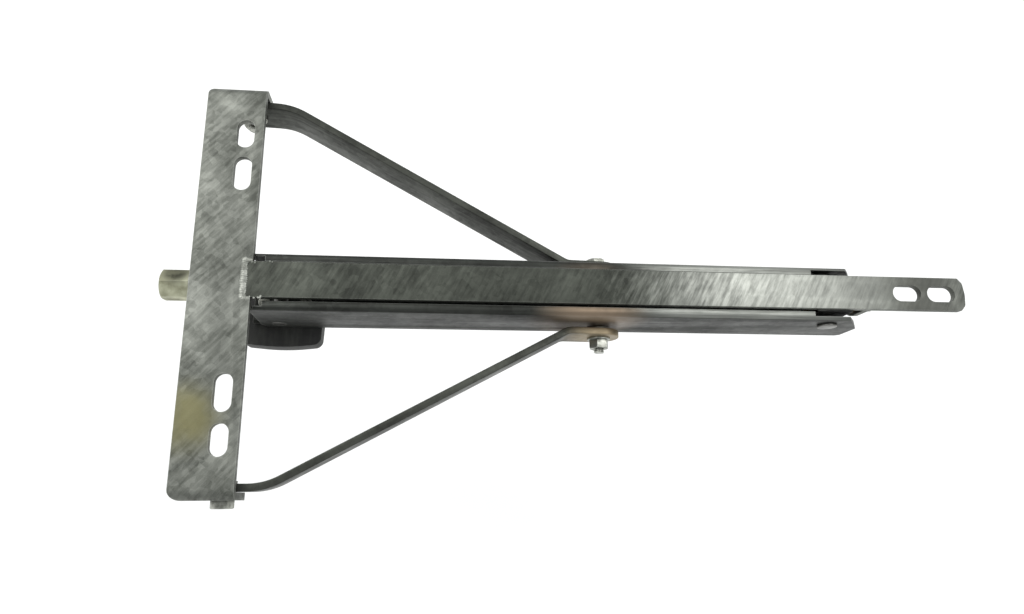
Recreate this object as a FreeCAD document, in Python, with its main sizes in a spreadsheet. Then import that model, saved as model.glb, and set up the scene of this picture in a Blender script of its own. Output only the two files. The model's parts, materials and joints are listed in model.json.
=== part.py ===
"""Winding corner steady: cross plate, rail, lead screw, travelling nut, folding leg, braces and foot.

Units are millimetres and +Z is up. The origin lies on the mounting face (the top of the cross
plate and rail, Z = 0), at the middle of the plate's outer edge. X runs along the rail from the
screw's drive end to the slotted tongue. The leg is modelled folded up under the rail.
"""
import FreeCAD
import Part
import math
import os

from FreeCAD import Placement, Rotation, Vector

doc = FreeCAD.newDocument("CornerSteady")

# ---------------------------------------------------------------- driving dimensions
DIMENSIONS = [
    ("plate_width", "40", "cross plate along X"),
    ("plate_length", "286", "cross plate along Y, over the folded ears"),
    ("plate_thickness", "5", "cross plate, ears and bearing tabs"),
    ("plate_corner", "7", "rounding of the plate's outer corners"),
    ("ear_slant", "16", "run of the slant on the outer lower corner of each ear"),
    ("ear_corner", "10", "chamfer on the inner lower corner of each ear"),
    ("ear_depth", "40", "height of the folded ears below the mounting face"),
    ("fold_radius", "7", "outside radius of a fold in the plate"),
    ("slot_width", "12", "all mounting slots"),
    ("slot_centre", "28", "X of the plate's slots"),
    ("inner_slot_offset", "76", "Y of the inner slots' centres"),
    ("inner_slot_length", "25", "overall"),
    ("outer_slot_offset", "106", "Y of the outer slots' centres"),
    ("outer_slot_length", "21", "overall"),
    ("notch_depth", "6", "how far the rail is let into the plate"),
    ("weld_gap", "1.5", "gap between rail and plate that the weld fills"),
    ("rail_width", "25", "flat bar of the rail and tongue"),
    ("rail_thickness", "5", "flat bar"),
    ("tongue_end", "554", "X of the tongue's tip"),
    ("tongue_slot_one", "508", "X of the first tongue slot's centre"),
    ("tongue_slot_two", "535", "X of the second tongue slot's centre"),
    ("tongue_slot_length", "22", "overall"),
    ("screw_depth", "20", "lead screw axis below the mounting face"),
    ("screw_diameter", "14", "over the thread"),
    ("journal_diameter", "12", "plain ends of the screw"),
    ("running_fit", "0.08", "radial clearance of every turning fit"),
    ("play", "0.4", "gap between faces of pieces that move past each other"),
    ("tab_width", "28", "front bearing tab along Y"),
    ("rear_tab_start", "475", "X of the rear bearing tab"),
    ("bush_diameter", "16", "outside of the bearing bushes"),
    ("bush_flange", "22", "flange of the bearing bushes"),
    ("bush_flange_thickness", "2", "along X"),
    ("collar_diameter", "25", "thrust collar"),
    ("collar_thickness", "2.6", "along X"),
    ("hex_flats", "19", "drive hexagon across flats"),
    ("hex_length", "19.6", "along X"),
    ("drive_pin_diameter", "4", "roll pin through hexagon and journal"),
    ("end_nut_flats", "18", "nut on the far end of the screw"),
    ("end_nut_height", "7", "along X"),
    ("nut_centre", "454", "X of the travelling nut and upper leg pivot, leg folded"),
    ("nut_length", "28", "travelling nut along X"),
    ("nut_width", "26.6", "travelling nut along Y"),
    ("nut_bottom", "34", "depth of the travelling nut's underside"),
    ("insert_diameter", "20", "bronze thread insert"),
    ("leg_width", "40", "leg channel along Y"),
    ("leg_top", "4", "depth of the leg's lips"),
    ("leg_bottom", "59", "depth of the leg's web"),
    ("leg_wall", "2.5", "leg sheet"),
    ("leg_lip", "6", "width of each lip"),
    ("leg_start", "38", "X of the leg's free end"),
    ("leg_end", "483", "X of the leg's upper end"),
    ("lip_end_gap", "17", "from the end of the leg's lips to the upper pivot"),
    ("web_end_gap", "8", "from the upper pivot to the end of the leg's web"),
    ("leg_fold", "3.5", "outside radius of the leg's folds"),
    ("mid_pivot_x", "284.6", "pivot of leg and braces"),
    ("mid_pivot_depth", "42.5", "pivot of leg and braces"),
    ("ear_pivot_x", "27.3", "brace pivots in the ears"),
    ("ear_pivot_depth", "25.5", "brace pivots in the ears"),
    ("brace_height", "30", "braces, flat bar on edge"),
    ("brace_thickness", "5", "braces"),
    ("brace_gap", "3", "between leg and brace, for the spacing washer"),
    ("brace_slope", "0.537", "sideways run of a brace for each unit of its length"),
    ("brace_slant_start", "28", "from the ear pivot to the start of a brace's slant"),
    ("ear_bend", "45", "outside radius of the crank beside the ear"),
    ("leg_bend", "14", "outside radius of the crank beside the leg"),
    ("bolt_diameter", "8", "M8 pivot bolts"),
    ("bolt_flats", "13", "M8 heads and nuts across flats"),
    ("bolt_head", "5.3", "M8 head"),
    ("bolt_nut", "6.5", "M8 nut"),
    ("washer_diameter", "17", "M8 washer"),
    ("washer_thickness", "1.6", "M8 washer"),
    ("spacer_diameter", "14", "spacer tube in the leg"),
    ("stub_diameter", "12", "upper leg pivot stubs"),
    ("stub_head", "14", "upper leg pivot stubs"),
    ("stub_head_height", "2", "upper leg pivot stubs"),
    ("foot_pivot_x", "51", "foot pin"),
    ("foot_pivot_depth", "46", "foot pin"),
    ("foot_pin_diameter", "10", "foot pin"),
    ("foot_heel", "30.5", "foot pad behind the pin"),
    ("foot_toe", "28.5", "foot pad ahead of the pin"),
    ("foot_width", "68", "foot pad along Y, over the bulging sides"),
    ("foot_bulge", "3", "how far the long sides of the pad bulge"),
    ("foot_corner", "6", "rounding of the pad's corners"),
    ("foot_side_round", "150", "rounding in the middle of the pad's bulging sides"),
    ("foot_top", "63.5", "depth of the pad's top"),
    ("foot_bottom", "80", "depth of the sole"),
    ("bracket_width", "33", "foot bracket over its lugs"),
    ("bracket_thickness", "3", "foot bracket sheet"),
    ("bracket_length", "44", "foot bracket along X"),
    ("lug_height", "9", "foot bracket lugs above the foot pin"),
    ("rivet_offset", "15", "X of the foot rivets each side of the pin"),
    ("rivet_diameter", "6", "foot rivets"),
    ("rivet_recess", "6", "depth of the rivets' recesses in the sole"),
    ("recess_diameter", "12", "rivet recesses in the sole"),
    ("tread_pitch", "12", "grooves across the sole"),
    ("tread_width", "4", "grooves across the sole"),
    ("tread_depth", "2", "grooves across the sole"),
    ("sole_chamfer", "2.5", "lower rim of the pad"),
]

sheet = doc.addObject("Spreadsheet::Sheet", "Dimensions")
for row, (alias, value, meaning) in enumerate(DIMENSIONS, start=1):
    sheet.set(f"A{row}", meaning)
    sheet.set(f"B{row}", value)
    sheet.setAlias(f"B{row}", alias)
doc.recompute()


def dim(alias):
    """The value of one named dimension."""
    return float(sheet.get(alias))


def bind(obj, prop, formula):
    """Drive a property from the spreadsheet; names in braces become references."""
    obj.setExpression(prop, formula.replace("{", "Dimensions.").replace("}", ""))


# ---------------------------------------------------------------- outline and feature helpers
def rounded(corners):
    """Edges of a closed outline. Each corner is (x, y) or (x, y, radius)."""
    count = len(corners)
    spots = [Vector(c[0], c[1], 0) for c in corners]
    joins = []
    for i, corner in enumerate(corners):
        radius = corner[2] if len(corner) > 2 else 0
        to_last = (spots[i - 1] - spots[i]).normalize()
        to_next = (spots[(i + 1) % count] - spots[i]).normalize()
        if not radius:
            joins.append((spots[i], None, spots[i]))
            continue
        half = to_last.getAngle(to_next) / 2
        reach = radius / math.tan(half)
        centre = spots[i] + (to_last + to_next).normalize() * (radius / math.sin(half))
        middle = centre + (spots[i] - centre).normalize() * radius
        start = spots[i] + to_last * reach
        finish = spots[i] + to_next * reach
        joins.append((start, middle, finish))
    edges = []
    for i, (start, middle, finish) in enumerate(joins):
        if middle is not None:
            edges.append(Part.Arc(start, middle, finish))
        following = joins[(i + 1) % count][0]
        if finish.distanceToPoint(following) > 1e-6:
            edges.append(Part.LineSegment(finish, following))
    return edges


def slot(cx, cy, length, width, along_x):
    """Edges of a slot with round ends."""
    direction = Vector(1, 0, 0) if along_x else Vector(0, 1, 0)
    step = direction * ((length - width) / 2)
    tip = direction * (width / 2)
    side = Vector(0, width / 2, 0) if along_x else Vector(width / 2, 0, 0)
    middle = Vector(cx, cy, 0)
    near = middle - step
    far = middle + step
    return [
        Part.LineSegment(near + side, far + side),
        Part.Arc(far + side, far + tip, far - side),
        Part.LineSegment(far - side, near - side),
        Part.Arc(near - side, near - tip, near + side),
    ]


def circle(cx, cy, radius):
    """Edges of a circle."""
    return [Part.Circle(Vector(cx, cy, 0), Vector(0, 0, 1), radius)]


def new_body(label, placement=None):
    """An empty body with its own label and placement."""
    body = doc.addObject("PartDesign::Body", label)
    body.Label = label
    if placement is not None:
        body.Placement = placement
    return body


def sketch_on(body, name, role, outlines, offset=0.0):
    """A sketch on one of the body's own origin planes, moved along the plane's normal."""
    plane = [f for f in body.Origin.OriginFeatures if f.Role == role][0]
    sketch = body.newObject("Sketcher::SketchObject", f"{body.Label}_{name}_sketch")
    sketch.AttachmentSupport = (plane, "")
    sketch.MapMode = "FlatFace"
    sketch.AttachmentOffset = Placement(Vector(0, 0, offset), Rotation())
    for outline in outlines:
        for edge in outline:
            sketch.addGeometry(edge, False)
    return sketch


def pad(body, name, role, outlines, length, offset=0.0, symmetric=False):
    """Extrude outlines; the length is a spreadsheet formula."""
    feature = body.newObject("PartDesign::Pad", f"{body.Label}_{name}")
    feature.Profile = sketch_on(body, name, role, outlines, offset)
    if symmetric:
        feature.SideType = "Symmetric"
    bind(feature, "Length", length)
    return feature


def pocket(body, name, role, outlines, length=None, offset=0.0, reverse=False):
    """Cut outlines: through everything both ways, or to a length from the sketch."""
    feature = body.newObject("PartDesign::Pocket", f"{body.Label}_{name}")
    feature.Profile = sketch_on(body, name, role, outlines, offset)
    if length is None:
        feature.SideType = "Symmetric"
        feature.Type = "ThroughAll"
    else:
        feature.Reversed = reverse
        bind(feature, "Length", length)
    return feature


def along(axis):
    """Rotation that turns +Z to the named axis."""
    target = {"x": Vector(1, 0, 0), "y": Vector(0, 1, 0), "z": Vector(0, 0, 1)}[axis]
    return Rotation(Vector(0, 0, 1), target)


def cylinder(name, start, axis, radius, height):
    """A cylinder whose radius and height are spreadsheet formulas."""
    shape = doc.addObject("Part::Cylinder", name)
    bind(shape, "Radius", radius)
    bind(shape, "Height", height)
    shape.Placement = Placement(start, along(axis))
    return shape


def hexagon(name, start, axis, flats, height, corner_up=0):
    """A hexagonal prism across flats, turned about its own axis."""
    shape = doc.addObject("Part::Prism", name)
    shape.Polygon = 6
    bind(shape, "Circumradius", f"{flats} / 2 / cos(30 deg)")
    bind(shape, "Height", height)
    shape.Placement = Placement(start, along(axis) * Rotation(Vector(0, 0, 1), corner_up))
    return shape


# A lathe takes the corners of a hexagon down to this share of their radius, at 30 degrees.
TURNED_SHARE = 0.868
TURNED_SLOPE = math.tan(math.radians(30))


def chamfered(label, prism, start, axis, radius, height, ends):
    """Turn a prism's corners down at one or both ends, as on a bolt head or nut."""
    solid = doc.addObject("Part::Feature", f"{label}_turning")
    inner = radius * TURNED_SHARE
    fall = (radius - inner) * TURNED_SLOPE
    low = fall if "low" in ends else 0
    high = fall if "high" in ends else 0
    profile = [
        Vector(0, 0, 0),
        Vector(inner if low else radius, 0, 0),
        Vector(radius, 0, low),
        Vector(radius, 0, height - high),
        Vector(inner if high else radius, 0, height),
        Vector(0, 0, height),
    ]
    points = [p for i, p in enumerate(profile) if i == 0 or p != profile[i - 1]]
    face = Part.Face(Part.makePolygon(points + [points[0]]))
    solid.Shape = face.revolve(Vector(0, 0, 0), Vector(0, 0, 1), 360)
    solid.Placement = Placement(start, along(axis))
    common = doc.addObject("Part::MultiCommon", label)
    common.Shapes = [prism, solid]
    return common


def fuse(label, shapes):
    """One solid from touching solids, with leftover seams removed."""
    result = doc.addObject("Part::MultiFuse", label)
    result.Shapes = shapes
    result.Refine = True
    return result


def cut(label, base, tools):
    """Base less every tool."""
    result = doc.addObject("Part::Cut", label)
    result.Base = base
    result.Tool = tools[0] if len(tools) == 1 else fuse(f"{label}_tools", tools)
    result.Refine = True
    return result


def group(label, shapes):
    """Separate identical pieces that share one node."""
    result = doc.addObject("Part::Compound", label)
    result.Links = shapes
    return result


nodes = []


def keep(obj, label):
    """Name a finished sub-part and list it for export."""
    obj.Label = label
    nodes.append(obj)
    return obj


# Signed depths and the positions that several pieces share.
SCREW_Z = -dim("screw_depth")
MID = Vector(dim("mid_pivot_x"), 0, -dim("mid_pivot_depth"))
EAR = Vector(dim("ear_pivot_x"), 0, -dim("ear_pivot_depth"))
UPPER = Vector(dim("nut_centre"), 0, SCREW_Z)
FOOT = Vector(dim("foot_pivot_x"), 0, -dim("foot_pivot_depth"))
PLATE_T = dim("plate_thickness")
HALF_PLATE = dim("plate_length") / 2
HALF_RAIL = dim("rail_width") / 2
HALF_LEG = dim("leg_width") / 2
FIT = dim("running_fit")
PLAY = dim("play")
BOLT_BORE = dim("bolt_diameter") / 2 + FIT

# ---------------------------------------------------------------- cross plate with folded ears
plate = new_body("cross_plate")
width = dim("plate_width")
fold = dim("fold_radius")
corner = dim("plate_corner")
depth = dim("ear_depth")
section = [
    (-HALF_PLATE, -depth),
    (-HALF_PLATE, 0, fold),
    (HALF_PLATE, 0, fold),
    (HALF_PLATE, -depth),
    (HALF_PLATE - PLATE_T, -depth),
    (HALF_PLATE - PLATE_T, -PLATE_T, fold - PLATE_T),
    (-HALF_PLATE + PLATE_T, -PLATE_T, fold - PLATE_T),
    (-HALF_PLATE + PLATE_T, -depth),
]
pad(plate, "bent_strip", "YZ_Plane", [rounded(section)], "{plate_width}")
for side in (-1, 1):
    end = side * HALF_PLATE
    round_centre = Vector(corner, end - side * corner, 0)
    on_arc = round_centre + Vector(-1, side, 0) * (corner * math.sqrt(0.5))
    relief = [
        Part.LineSegment(Vector(-1, end + side, 0), Vector(corner, end + side, 0)),
        Part.LineSegment(Vector(corner, end + side, 0), Vector(corner, end, 0)),
        Part.Arc(Vector(corner, end, 0), on_arc, Vector(0, end - side * corner, 0)),
        Part.LineSegment(Vector(0, end - side * corner, 0), Vector(-1, end - side * corner, 0)),
        Part.LineSegment(Vector(-1, end - side * corner, 0), Vector(-1, end + side, 0)),
    ]
    pocket(plate, f"corner_{side + 1}", "XY_Plane", [relief])
notch_x = width - dim("notch_depth")
gap = dim("weld_gap")
notch = [
    (notch_x, -HALF_RAIL - gap),
    (width + 1, -HALF_RAIL - gap),
    (width + 1, HALF_RAIL + gap),
    (notch_x, HALF_RAIL + gap),
]
pocket(plate, "rail_notch", "XY_Plane", [rounded(notch)])
slots = []
for side in (-1, 1):
    for which in ("inner", "outer"):
        centre_y = side * dim(f"{which}_slot_offset")
        length = dim(f"{which}_slot_length")
        slots.append(slot(dim("slot_centre"), centre_y, length, dim("slot_width"), False))
pocket(plate, "mounting_slots", "XY_Plane", slots)
ear_slant = dim("ear_slant")
ear_corner = dim("ear_corner")
ear_lean = 1.6 * ear_slant
ear_round = 6
ear_trim = [
    [
        (-1, -depth - 1),
        (ear_slant, -depth - 1),
        (ear_slant, -depth, ear_round),
        (0, -depth + ear_lean, ear_round),
        (-1, -depth + ear_lean),
    ],
    [
        (width + 1, -depth - 1),
        (width - ear_corner, -depth - 1),
        (width - ear_corner, -depth),
        (width, -depth + ear_corner),
        (width + 1, -depth + ear_corner),
    ],
]
pocket(plate, "ear_corners", "XZ_Plane", [rounded(outline) for outline in ear_trim])
ear_hole = circle(EAR.x, EAR.z, dim("bolt_diameter") / 2)
pocket(plate, "ear_holes", "XZ_Plane", [ear_hole])
keep(plate, "cross_plate")

# ---------------------------------------------------------------- rail: flat bar ending in a slotted tongue
rail = new_body("rail_bar")
tip = dim("tongue_end")
rail_x = notch_x + gap
rail_outline = [
    (rail_x, -HALF_RAIL),
    (tip - 4.5, -HALF_RAIL, 1.5),
    (tip - 1, -HALF_RAIL + 4, 3),
    (tip, 0, 20),
    (tip - 1, HALF_RAIL - 4, 3),
    (tip - 4.5, HALF_RAIL, 1.5),
    (rail_x, HALF_RAIL),
]
rail_z = -dim("rail_thickness")
pad(rail, "bar", "XY_Plane", [rounded(rail_outline)], "{rail_thickness}", offset=rail_z)
tongue_slots = []
for place in ("tongue_slot_one", "tongue_slot_two"):
    tongue_slots.append(slot(dim(place), 0, dim("tongue_slot_length"), dim("slot_width"), True))
pocket(rail, "tongue_slots", "XY_Plane", tongue_slots)
keep(rail, "rail_bar")

# The weld fills the gap round the let-in end of the rail.
weld = new_body("rail_weld")
weld_outline = [
    (notch_x, -HALF_RAIL - gap),
    (width, -HALF_RAIL - gap),
    (width, -HALF_RAIL),
    (rail_x, -HALF_RAIL),
    (rail_x, HALF_RAIL),
    (width, HALF_RAIL),
    (width, HALF_RAIL + gap),
    (notch_x, HALF_RAIL + gap),
]
pad(weld, "seam", "XY_Plane", [rounded(weld_outline)], "{plate_thickness}", offset=-PLATE_T)
keep(weld, "rail_weld")


# ---------------------------------------------------------------- bearing tabs, bushes and tab welds
def bearing_tab(label, start_x, half_width):
    """Upright tab with a round lower end about the screw axis and a hole for its bush."""
    tab = new_body(label)
    outline = [
        (-half_width, -PLATE_T),
        (half_width, -PLATE_T),
        (half_width, SCREW_Z - half_width, half_width),
        (-half_width, SCREW_Z - half_width, half_width),
    ]
    pad(tab, "plate", "YZ_Plane", [rounded(outline)], "{plate_thickness}", offset=start_x)
    hole = circle(0, SCREW_Z, dim("bush_diameter") / 2)
    pocket(tab, "bush_hole", "YZ_Plane", [hole])
    return keep(tab, label)


def bearing_bush(label, start_x, flange_first):
    """Flanged bush on the screw axis; the flange is at the low or high end along X."""
    body_x = start_x + (dim("bush_flange_thickness") if flange_first else 0)
    flange_x = start_x if flange_first else start_x + PLATE_T
    barrel = cylinder(
        f"{label}_barrel", Vector(body_x, 0, SCREW_Z), "x", "{bush_diameter} / 2", "{plate_thickness}"
    )
    flange = cylinder(
        f"{label}_flange",
        Vector(flange_x, 0, SCREW_Z),
        "x",
        "{bush_flange} / 2",
        "{bush_flange_thickness}",
    )
    bore = cylinder(
        f"{label}_bore",
        Vector(start_x - 1, 0, SCREW_Z),
        "x",
        "{journal_diameter} / 2 + {running_fit}",
        "{plate_thickness} + {bush_flange_thickness} + 2",
    )
    whole = fuse(f"{label}_blank", [barrel, flange])
    return keep(cut(label, whole, [bore]), label)


rear_x = dim("rear_tab_start")
flange_t = dim("bush_flange_thickness")
bearing_tab("front_bearing_tab", 0, dim("tab_width") / 2)
bearing_tab("rear_bearing_tab", rear_x, HALF_RAIL)
bearing_bush("front_bush", 0, False)
bearing_bush("rear_bush", rear_x - flange_t, True)

fillet = 3.5
front_bead = [(PLATE_T, -PLATE_T), (PLATE_T + fillet, -PLATE_T), (PLATE_T, -PLATE_T - fillet)]
rear_low = [(rear_x, -PLATE_T), (rear_x - fillet, -PLATE_T), (rear_x, -PLATE_T - fillet)]
rear_edge = rear_x + PLATE_T
rear_high = [
    (rear_edge, -PLATE_T),
    (rear_edge + fillet, -PLATE_T),
    (rear_edge, -PLATE_T - fillet),
]
beads = []
for name, outline in (("front", front_bead), ("rear_low", rear_low), ("rear_high", rear_high)):
    bead = new_body(f"tab_weld_{name}")
    pad(bead, "bead", "XZ_Plane", [rounded(outline)], "{rail_width} - 2", symmetric=True)
    beads.append(bead)
keep(group("tab_weld_set", beads), "tab_welds")


# ---------------------------------------------------------------- fasteners
def bolt(label, face, axis_sign, shank, hidden=0.0):
    """M8 hexagon bolt along Y. The head's underside is at face and the shank runs the other way."""
    head_start = Vector(face.x, face.y + (0 if axis_sign > 0 else -dim("bolt_head")), face.z)
    radius = dim("bolt_flats") / 2 / math.cos(math.radians(30))
    prism = hexagon(f"{label}_prism", head_start, "y", "{bolt_flats}", "{bolt_head}", hidden)
    ends = "high" if axis_sign > 0 else "low"
    head = chamfered(f"{label}_head", prism, head_start, "y", radius, dim("bolt_head"), ends)
    low = face.y - shank if axis_sign > 0 else face.y
    rod = cylinder(f"{label}_rod", Vector(face.x, low, face.z), "y", "{bolt_diameter} / 2", f"{shank}")
    return fuse(label, [head, rod])


def washer(label, low, thickness="{washer_thickness}"):
    """M8 washer along Y, starting at low."""
    disc = cylinder(f"{label}_disc", low, "y", "{washer_diameter} / 2", thickness)
    hole = cylinder(
        f"{label}_hole", low - Vector(0, 1, 0), "y", "{bolt_diameter} / 2", f"{thickness} + 2"
    )
    return cut(label, disc, [hole])


def nut(label, low, turn=0.0):
    """M8 nut along Y, starting at low, with both ends turned down."""
    prism = hexagon(f"{label}_prism", low, "y", "{bolt_flats}", "{bolt_nut}", turn)
    radius = dim("bolt_flats") / 2 / math.cos(math.radians(30))
    turned = chamfered(f"{label}_turned", prism, low, "y", radius, dim("bolt_nut"), "low high")
    hole = cylinder(
        f"{label}_hole", low - Vector(0, 1, 0), "y", "{bolt_diameter} / 2", "{bolt_nut} + 2"
    )
    return cut(label, turned, [hole])


brace_t = dim("brace_thickness")
ear_face = HALF_PLATE - PLATE_T
brace_outer = ear_face - PLAY
brace_inner = brace_outer - brace_t
washer_t = dim("washer_thickness")
nut_t = dim("bolt_nut")
ear_washer_face = brace_inner - PLAY
ear_shank = HALF_PLATE - ear_washer_face + washer_t + nut_t + 2.5
ear_bolts = []
ear_washers = []
ear_nuts = []
for side in (-1, 1):
    hand = "left" if side > 0 else "right"
    head_face = Vector(EAR.x, side * HALF_PLATE, EAR.z)
    washer_low = side * ear_washer_face - (washer_t if side > 0 else 0)
    nut_low = side * (ear_washer_face - washer_t) - (nut_t if side > 0 else 0)
    ear_bolts.append(bolt(f"ear_bolt_{hand}", head_face, side, ear_shank, 8))
    ear_washers.append(washer(f"ear_washer_{hand}", Vector(EAR.x, washer_low, EAR.z)))
    ear_nuts.append(nut(f"ear_nut_{hand}", Vector(EAR.x, nut_low, EAR.z), 17))
keep(group("ear_bolt_set", ear_bolts), "ear_bolts")
keep(group("ear_washer_set", ear_washers), "ear_washers")
keep(group("ear_nut_set", ear_nuts), "ear_nuts")

# ---------------------------------------------------------------- lead screw and what turns with it
collar_t = dim("collar_thickness")
hex_length = dim("hex_length")
collar_x = -PLAY - collar_t
hex_x = collar_x - hex_length
front_shoulder = PLATE_T + flange_t + PLAY
rear_shoulder = rear_x - flange_t - PLAY
screw_tip = rear_x + PLATE_T + PLAY + washer_t + dim("end_nut_height") + 3
front_journal = cylinder(
    "front_journal",
    Vector(hex_x + 2, 0, SCREW_Z),
    "x",
    "{journal_diameter} / 2",
    f"{front_shoulder - hex_x - 2}",
)
thread = cylinder(
    "screw_thread",
    Vector(front_shoulder, 0, SCREW_Z),
    "x",
    "{screw_diameter} / 2",
    f"{rear_shoulder - front_shoulder}",
)
rear_journal = cylinder(
    "rear_journal",
    Vector(rear_shoulder, 0, SCREW_Z),
    "x",
    "{journal_diameter} / 2",
    f"{screw_tip - rear_shoulder}",
)
pin_x = hex_x + hex_length * 0.55
pin_half = dim("hex_flats") / 2 - 0.3


def drive_pin_hole(label):
    """The cross hole that the drive pin fills."""
    return cylinder(
        label, Vector(pin_x, -pin_half, SCREW_Z), "y", "{drive_pin_diameter} / 2", f"{2 * pin_half}"
    )


screw_blank = fuse("screw_blank", [front_journal, thread, rear_journal])
keep(cut("lead_screw_solid", screw_blank, [drive_pin_hole("screw_pin_hole")]), "lead_screw")

hex_start = Vector(hex_x, 0, SCREW_Z)
hex_radius = dim("hex_flats") / 2 / math.cos(math.radians(30))
hex_prism = hexagon("hex_prism", hex_start, "x", "{hex_flats}", "{hex_length}", 0)
hex_turned = chamfered("hex_turned", hex_prism, hex_start, "x", hex_radius, hex_length, "low")
hex_bore = cylinder(
    "hex_bore", Vector(hex_x + 2, 0, SCREW_Z), "x", "{journal_diameter} / 2", "{hex_length}"
)
hex_tools = [hex_bore, drive_pin_hole("hex_pin_hole")]
keep(cut("hex_drive_solid", hex_turned, hex_tools), "hex_drive")
keep(drive_pin_hole("drive_pin_solid"), "drive_pin")

collar_disc = cylinder(
    "collar_disc",
    Vector(collar_x, 0, SCREW_Z),
    "x",
    "{collar_diameter} / 2",
    "{collar_thickness}",
)
collar_bore = cylinder(
    "collar_bore",
    Vector(collar_x - 1, 0, SCREW_Z),
    "x",
    "{journal_diameter} / 2",
    "{collar_thickness} + 2",
)
keep(cut("thrust_collar_solid", collar_disc, [collar_bore]), "thrust_collar")

end_washer_x = rear_x + PLATE_T + PLAY
end_disc = cylinder(
    "end_disc", Vector(end_washer_x, 0, SCREW_Z), "x", "{bush_flange} / 2", "{washer_thickness}"
)
end_hole = cylinder(
    "end_hole",
    Vector(end_washer_x - 1, 0, SCREW_Z),
    "x",
    "{journal_diameter} / 2",
    "{washer_thickness} + 2",
)
keep(cut("end_washer_solid", end_disc, [end_hole]), "end_washer")

end_nut_start = Vector(end_washer_x + washer_t, 0, SCREW_Z)
end_prism = hexagon("end_prism", end_nut_start, "x", "{end_nut_flats}", "{end_nut_height}", 12)
end_radius = dim("end_nut_flats") / 2 / math.cos(math.radians(30))
end_turned = chamfered(
    "end_turned", end_prism, end_nut_start, "x", end_radius, dim("end_nut_height"), "high"
)
end_bore = cylinder(
    "end_bore",
    end_nut_start - Vector(1, 0, 0),
    "x",
    "{journal_diameter} / 2",
    "{end_nut_height} + 2",
)
keep(cut("end_nut_solid", end_turned, [end_bore]), "end_nut")

# ---------------------------------------------------------------- travelling nut
nut_block = new_body("nut_block")
nut_top = -dim("rail_thickness") - PLAY
half_nut = dim("nut_length") / 2
half_width = dim("nut_width") / 2
nut_section = [
    (UPPER.x - half_nut, nut_top, 1.5),
    (UPPER.x + half_nut, nut_top, 1.5),
    (UPPER.x + half_nut, -dim("nut_bottom"), 5),
    (UPPER.x - half_nut, -dim("nut_bottom"), 5),
]
pad(nut_block, "block", "XZ_Plane", [rounded(nut_section)], "{nut_width}", symmetric=True)
insert_hole = circle(0, SCREW_Z, dim("insert_diameter") / 2)
pocket(nut_block, "insert_hole", "YZ_Plane", [insert_hole])
keep(nut_block, "nut_block")

insert_barrel = cylinder(
    "insert_barrel",
    Vector(UPPER.x - half_nut, 0, SCREW_Z),
    "x",
    "{insert_diameter} / 2",
    "{nut_length}",
)
insert_bore = cylinder(
    "insert_bore",
    Vector(UPPER.x - half_nut - 1, 0, SCREW_Z),
    "x",
    "{screw_diameter} / 2 + {running_fit}",
    "{nut_length} + 2",
)
keep(cut("thread_insert_solid", insert_barrel, [insert_bore]), "thread_insert")

# ---------------------------------------------------------------- leg: lipped channel, open side up
leg = new_body("leg_channel")
wall = dim("leg_wall")
top = -dim("leg_top")
bottom = -dim("leg_bottom")
opening = HALF_LEG - dim("leg_lip")
leg_fold = dim("leg_fold")
leg_x = dim("leg_start")
leg_far = dim("leg_end")
channel = [
    (-opening, top),
    (-HALF_LEG, top, leg_fold),
    (-HALF_LEG, bottom, leg_fold),
    (HALF_LEG, bottom, leg_fold),
    (HALF_LEG, top, leg_fold),
    (opening, top),
    (opening, top - wall),
    (HALF_LEG - wall, top - wall, leg_fold - wall),
    (HALF_LEG - wall, bottom + wall, leg_fold - wall),
    (-HALF_LEG + wall, bottom + wall, leg_fold - wall),
    (-HALF_LEG + wall, top - wall, leg_fold - wall),
    (-opening, top - wall),
]
pad(leg, "channel", "YZ_Plane", [rounded(channel)], "{leg_end} - {leg_start}", offset=leg_x)
end_round = dim("foot_pivot_depth") - dim("leg_bottom")
under_plate = -PLATE_T - PLAY
free_end_top = [
    (leg_x - 3, 0),
    (width + 1, 0),
    (width + 1, under_plate),
    (leg_x - 3, under_plate),
]
free_end_bottom = [
    Part.LineSegment(Vector(leg_x - 3, FOOT.z, 0), Vector(leg_x, FOOT.z, 0)),
    Part.Arc(
        Vector(leg_x, FOOT.z, 0),
        Vector(FOOT.x + end_round * math.sqrt(0.5), FOOT.z + end_round * math.sqrt(0.5), 0),
        Vector(FOOT.x, bottom, 0),
    ),
    Part.LineSegment(Vector(FOOT.x, bottom, 0), Vector(FOOT.x, bottom - 3, 0)),
    Part.LineSegment(Vector(FOOT.x, bottom - 3, 0), Vector(leg_x - 3, bottom - 3, 0)),
    Part.LineSegment(Vector(leg_x - 3, bottom - 3, 0), Vector(leg_x - 3, FOOT.z, 0)),
]
pocket(leg, "free_end", "XZ_Plane", [rounded(free_end_top), free_end_bottom])
# Above its pivot the upper end stays within this swing of it. Below, it reaches further, but the
# leg turns only 60 degrees, so neither part rises past the mounting face.
swing = -UPPER.z - PLAY
upper_end_top = [
    (UPPER.x + swing / 2, top + 3),
    (leg_far + 3, top + 3),
    (leg_far + 3, UPPER.z - 11),
    (leg_far, UPPER.z - 11),
    (UPPER.x + swing - 0.5, UPPER.z + 4),
    (UPPER.x + swing / 2, top),
]
upper_end_bottom = [
    (leg_far, bottom + 6),
    (leg_far + 3, bottom + 6),
    (leg_far + 3, bottom - 3),
    (leg_far - 6, bottom - 3),
    (leg_far - 6, bottom),
]
pocket(leg, "upper_end", "XZ_Plane", [rounded(upper_end_top), rounded(upper_end_bottom)])
inside = HALF_LEG - wall
lip_end = [
    (leg_x - 1, -inside),
    (width + 7, -inside),
    (width + 7, inside),
    (leg_x - 1, inside),
]
lips_from = UPPER.x - dim("lip_end_gap")
lip_start = [
    (lips_from, -inside),
    (leg_far + 1, -inside),
    (leg_far + 1, inside),
    (lips_from, inside),
]
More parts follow.
